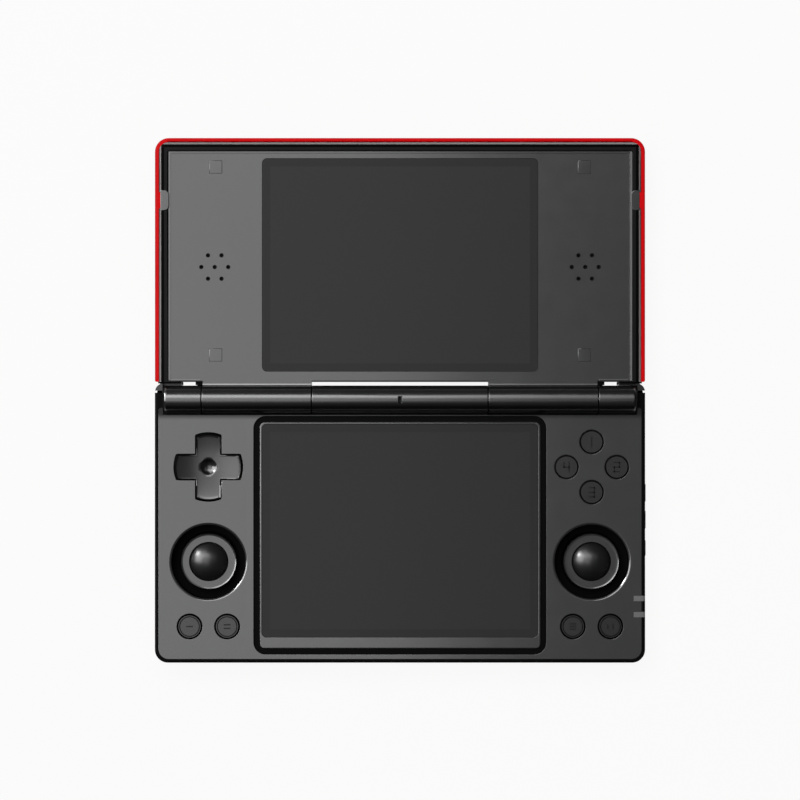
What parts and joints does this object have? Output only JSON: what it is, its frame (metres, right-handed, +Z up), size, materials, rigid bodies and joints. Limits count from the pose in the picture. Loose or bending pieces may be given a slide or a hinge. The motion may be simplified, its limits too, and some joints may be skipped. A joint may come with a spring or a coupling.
{
  "type": "clamshell handheld game console",
  "caption": "Two-screen clamshell handheld game console, open flat, with a barrel hinge, direction pad, face buttons, two thumb sticks, shoulder, menu and side buttons.",
  "frame": {"origin": "on the table, below the middle of the hinge axis; the lid lies open at 180 degrees", "axes": "+X to the player's right along the hinge, +Y towards the lid's far edge, +Z up"},
  "size_m": [0.1603, 0.1713, 0.0176],
  "materials": {
    "red_casing": "red satin painted plastic",
    "black_casing": "black moulded plastic",
    "grey_panel": "grey satin panel",
    "grey_button": "grey moulded plastic",
    "dark_button": "dark glossy plastic",
    "screen_lens": "dark cover glass, screen off",
    "display": "display panel",
    "rubber": "black rubber",
    "circuit_board": "solder resist",
    "battery_foil": "pouch cell foil",
    "steel": "plated steel",
    "brass": "brass",
    "white_plastic": "natural nylon",
    "indicator": "milky light guide",
    "speaker": "black plastic and paper"
  },
  "bodies": {
    "base": {"bottom_cover": "red_casing", "top_shell": "black_casing", "base_faceplate": "grey_panel", "lower_screen_frame": "grey_panel", "lower_lens": "screen_lens", "lower_display": "display", "main_board": "circuit_board", "battery": "battery_foil", "dpad_membrane": "rubber", "dpad_bracket": "steel", "face_membrane": "rubber", "menu_membrane": "rubber", "stick_rings": "black_casing", "stick_housings": "steel", "rubber_feet": "rubber", "base_screws": "steel", "usb_socket": "steel", "headphone_socket": "black_casing", "card_socket": "steel", "led_windows": "indicator", "key_switches": "white_plastic", "hinge_pins": "steel", "microphone": "steel"},
    "lid": {"lid_cover": "red_casing", "lid_frame": "black_casing", "lid_faceplate": "grey_panel", "upper_lens": "screen_lens", "upper_display": "display", "left_speaker": "speaker", "right_speaker": "speaker", "lid_pads": "grey_panel", "lid_tabs": "grey_panel", "lid_screws": "steel", "lid_magnet": "steel", "hinge_clutches": "brass"},
    "dpad_pivot": {"dpad_pivot": "steel"},
    "dpad": {"dpad": "dark_button"},
    "top_face_button": {"top_face_button": "grey_button"},
    "right_face_button": {"right_face_button": "grey_button"},
    "bottom_face_button": {"bottom_face_button": "grey_button"},
    "left_face_button": {"left_face_button": "grey_button"},
    "outer_left_menu_button": {"outer_left_menu_button": "grey_button"},
    "inner_left_menu_button": {"inner_left_menu_button": "grey_button"},
    "inner_right_menu_button": {"inner_right_menu_button": "grey_button"},
    "outer_right_menu_button": {"outer_right_menu_button": "grey_button"},
    "volume_up_button": {"volume_up_button": "black_casing"},
    "volume_down_button": {"volume_down_button": "black_casing"},
    "power_button": {"power_button": "black_casing"},
    "left_outer_shoulder": {"left_outer_shoulder": "black_casing"},
    "left_inner_shoulder": {"left_inner_shoulder": "black_casing"},
    "right_outer_shoulder": {"right_outer_shoulder": "black_casing"},
    "right_inner_shoulder": {"right_inner_shoulder": "black_casing"},
    "left_stick_carrier": {"left_stick_carrier": "white_plastic"},
    "left_stick_yoke": {"left_stick_yoke": "steel"},
    "left_stick": {"left_stick": "grey_button", "left_stick_dome": "dark_button"},
    "right_stick_carrier": {"right_stick_carrier": "white_plastic"},
    "right_stick_yoke": {"right_stick_yoke": "steel"},
    "right_stick": {"right_stick": "grey_button", "right_stick_dome": "dark_button"}
  },
  "joints": [
    {"name": "lid_hinge", "type": "hinge", "parent": "base", "child": "lid", "pos_m": [0, 0, 0.013], "axis": [1, 0, 0], "range_deg": [0, 180]},
    {"name": "top_face_press", "type": "slide", "parent": "base", "child": "top_face_button", "axis": [0, 0, -1], "range_m": [0, 0.0008], "stiffness_N_per_m": 400, "springref_m": -0.001},
    {"name": "right_face_press", "type": "slide", "parent": "base", "child": "right_face_button", "axis": [0, 0, -1], "range_m": [0, 0.0008], "stiffness_N_per_m": 400, "springref_m": -0.001},
    {"name": "bottom_face_press", "type": "slide", "parent": "base", "child": "bottom_face_button", "axis": [0, 0, -1], "range_m": [0, 0.0008], "stiffness_N_per_m": 400, "springref_m": -0.001},
    {"name": "left_face_press", "type": "slide", "parent": "base", "child": "left_face_button", "axis": [0, 0, -1], "range_m": [0, 0.0008], "stiffness_N_per_m": 400, "springref_m": -0.001},
    {"name": "outer_left_menu_press", "type": "slide", "parent": "base", "child": "outer_left_menu_button", "axis": [0, 0, -1], "range_m": [0, 0.0005], "stiffness_N_per_m": 400, "springref_m": -0.001},
    {"name": "inner_left_menu_press", "type": "slide", "parent": "base", "child": "inner_left_menu_button", "axis": [0, 0, -1], "range_m": [0, 0.0005], "stiffness_N_per_m": 400, "springref_m": -0.001},
    {"name": "inner_right_menu_press", "type": "slide", "parent": "base", "child": "inner_right_menu_button", "axis": [0, 0, -1], "range_m": [0, 0.0005], "stiffness_N_per_m": 400, "springref_m": -0.001},
    {"name": "outer_right_menu_press", "type": "slide", "parent": "base", "child": "outer_right_menu_button", "axis": [0, 0, -1], "range_m": [0, 0.0005], "stiffness_N_per_m": 400, "springref_m": -0.001},
    {"name": "volume_up_press", "type": "slide", "parent": "base", "child": "volume_up_button", "axis": [-1, 0, 0], "range_m": [0, 0.00025], "stiffness_N_per_m": 600, "springref_m": -0.001},
    {"name": "volume_down_press", "type": "slide", "parent": "base", "child": "volume_down_button", "axis": [-1, 0, 0], "range_m": [0, 0.00025], "stiffness_N_per_m": 600, "springref_m": -0.001},
    {"name": "power_press", "type": "slide", "parent": "base", "child": "power_button", "axis": [-1, 0, 0], "range_m": [0, 0.00025], "stiffness_N_per_m": 600, "springref_m": -0.001},
    {"name": "left_outer_shoulder_press", "type": "slide", "parent": "base", "child": "left_outer_shoulder", "axis": [0, -1, 0], "range_m": [0, 0.0006], "stiffness_N_per_m": 500, "springref_m": -0.001},
    {"name": "left_inner_shoulder_press", "type": "slide", "parent": "base", "child": "left_inner_shoulder", "axis": [0, -1, 0], "range_m": [0, 0.0006], "stiffness_N_per_m": 500, "springref_m": -0.001},
    {"name": "right_outer_shoulder_press", "type": "slide", "parent": "base", "child": "right_outer_shoulder", "axis": [0, -1, 0], "range_m": [0, 0.0006], "stiffness_N_per_m": 500, "springref_m": -0.001},
    {"name": "right_inner_shoulder_press", "type": "slide", "parent": "base", "child": "right_inner_shoulder", "axis": [0, -1, 0], "range_m": [0, 0.0006], "stiffness_N_per_m": 500, "springref_m": -0.001},
    {"name": "dpad_up_down", "type": "hinge", "parent": "base", "child": "dpad_pivot", "pos_m": [-0.0625, -0.022, 0.009], "axis": [1, 0, 0], "range_deg": [-3.5, 3.5], "stiffness_Nm_per_rad": 0.15},
    {"name": "dpad_left_right", "type": "hinge", "parent": "dpad_pivot", "child": "dpad", "pos_m": [-0.0625, -0.022, 0.009], "axis": [0, 1, 0], "range_deg": [-3.5, 3.5], "stiffness_Nm_per_rad": 0.15},
    {"name": "left_stick_press", "type": "slide", "parent": "base", "child": "left_stick_carrier", "axis": [0, 0, -1], "range_m": [0, 0.0003], "stiffness_N_per_m": 1500, "springref_m": -0.001},
    {"name": "left_stick_up_down", "type": "hinge", "parent": "left_stick_carrier", "child": "left_stick_yoke", "pos_m": [-0.0625, -0.0529, 0.005], "axis": [1, 0, 0], "range_deg": [-15, 15], "stiffness_Nm_per_rad": 0.0115},
    {"name": "left_stick_left_right", "type": "hinge", "parent": "left_stick_yoke", "child": "left_stick", "pos_m": [-0.0625, -0.0529, 0.005], "axis": [0, 1, 0], "range_deg": [-15, 15], "stiffness_Nm_per_rad": 0.0115},
    {"name": "right_stick_press", "type": "slide", "parent": "base", "child": "right_stick_carrier", "axis": [0, 0, -1], "range_m": [0, 0.0003], "stiffness_N_per_m": 1500, "springref_m": -0.001},
    {"name": "right_stick_up_down", "type": "hinge", "parent": "right_stick_carrier", "child": "right_stick_yoke", "pos_m": [0.0625, -0.0529, 0.005], "axis": [1, 0, 0], "range_deg": [-15, 15], "stiffness_Nm_per_rad": 0.0115},
    {"name": "right_stick_left_right", "type": "hinge", "parent": "right_stick_yoke", "child": "right_stick", "pos_m": [0.0625, -0.0529, 0.005], "axis": [0, 1, 0], "range_deg": [-15, 15], "stiffness_Nm_per_rad": 0.0115}
  ]
}
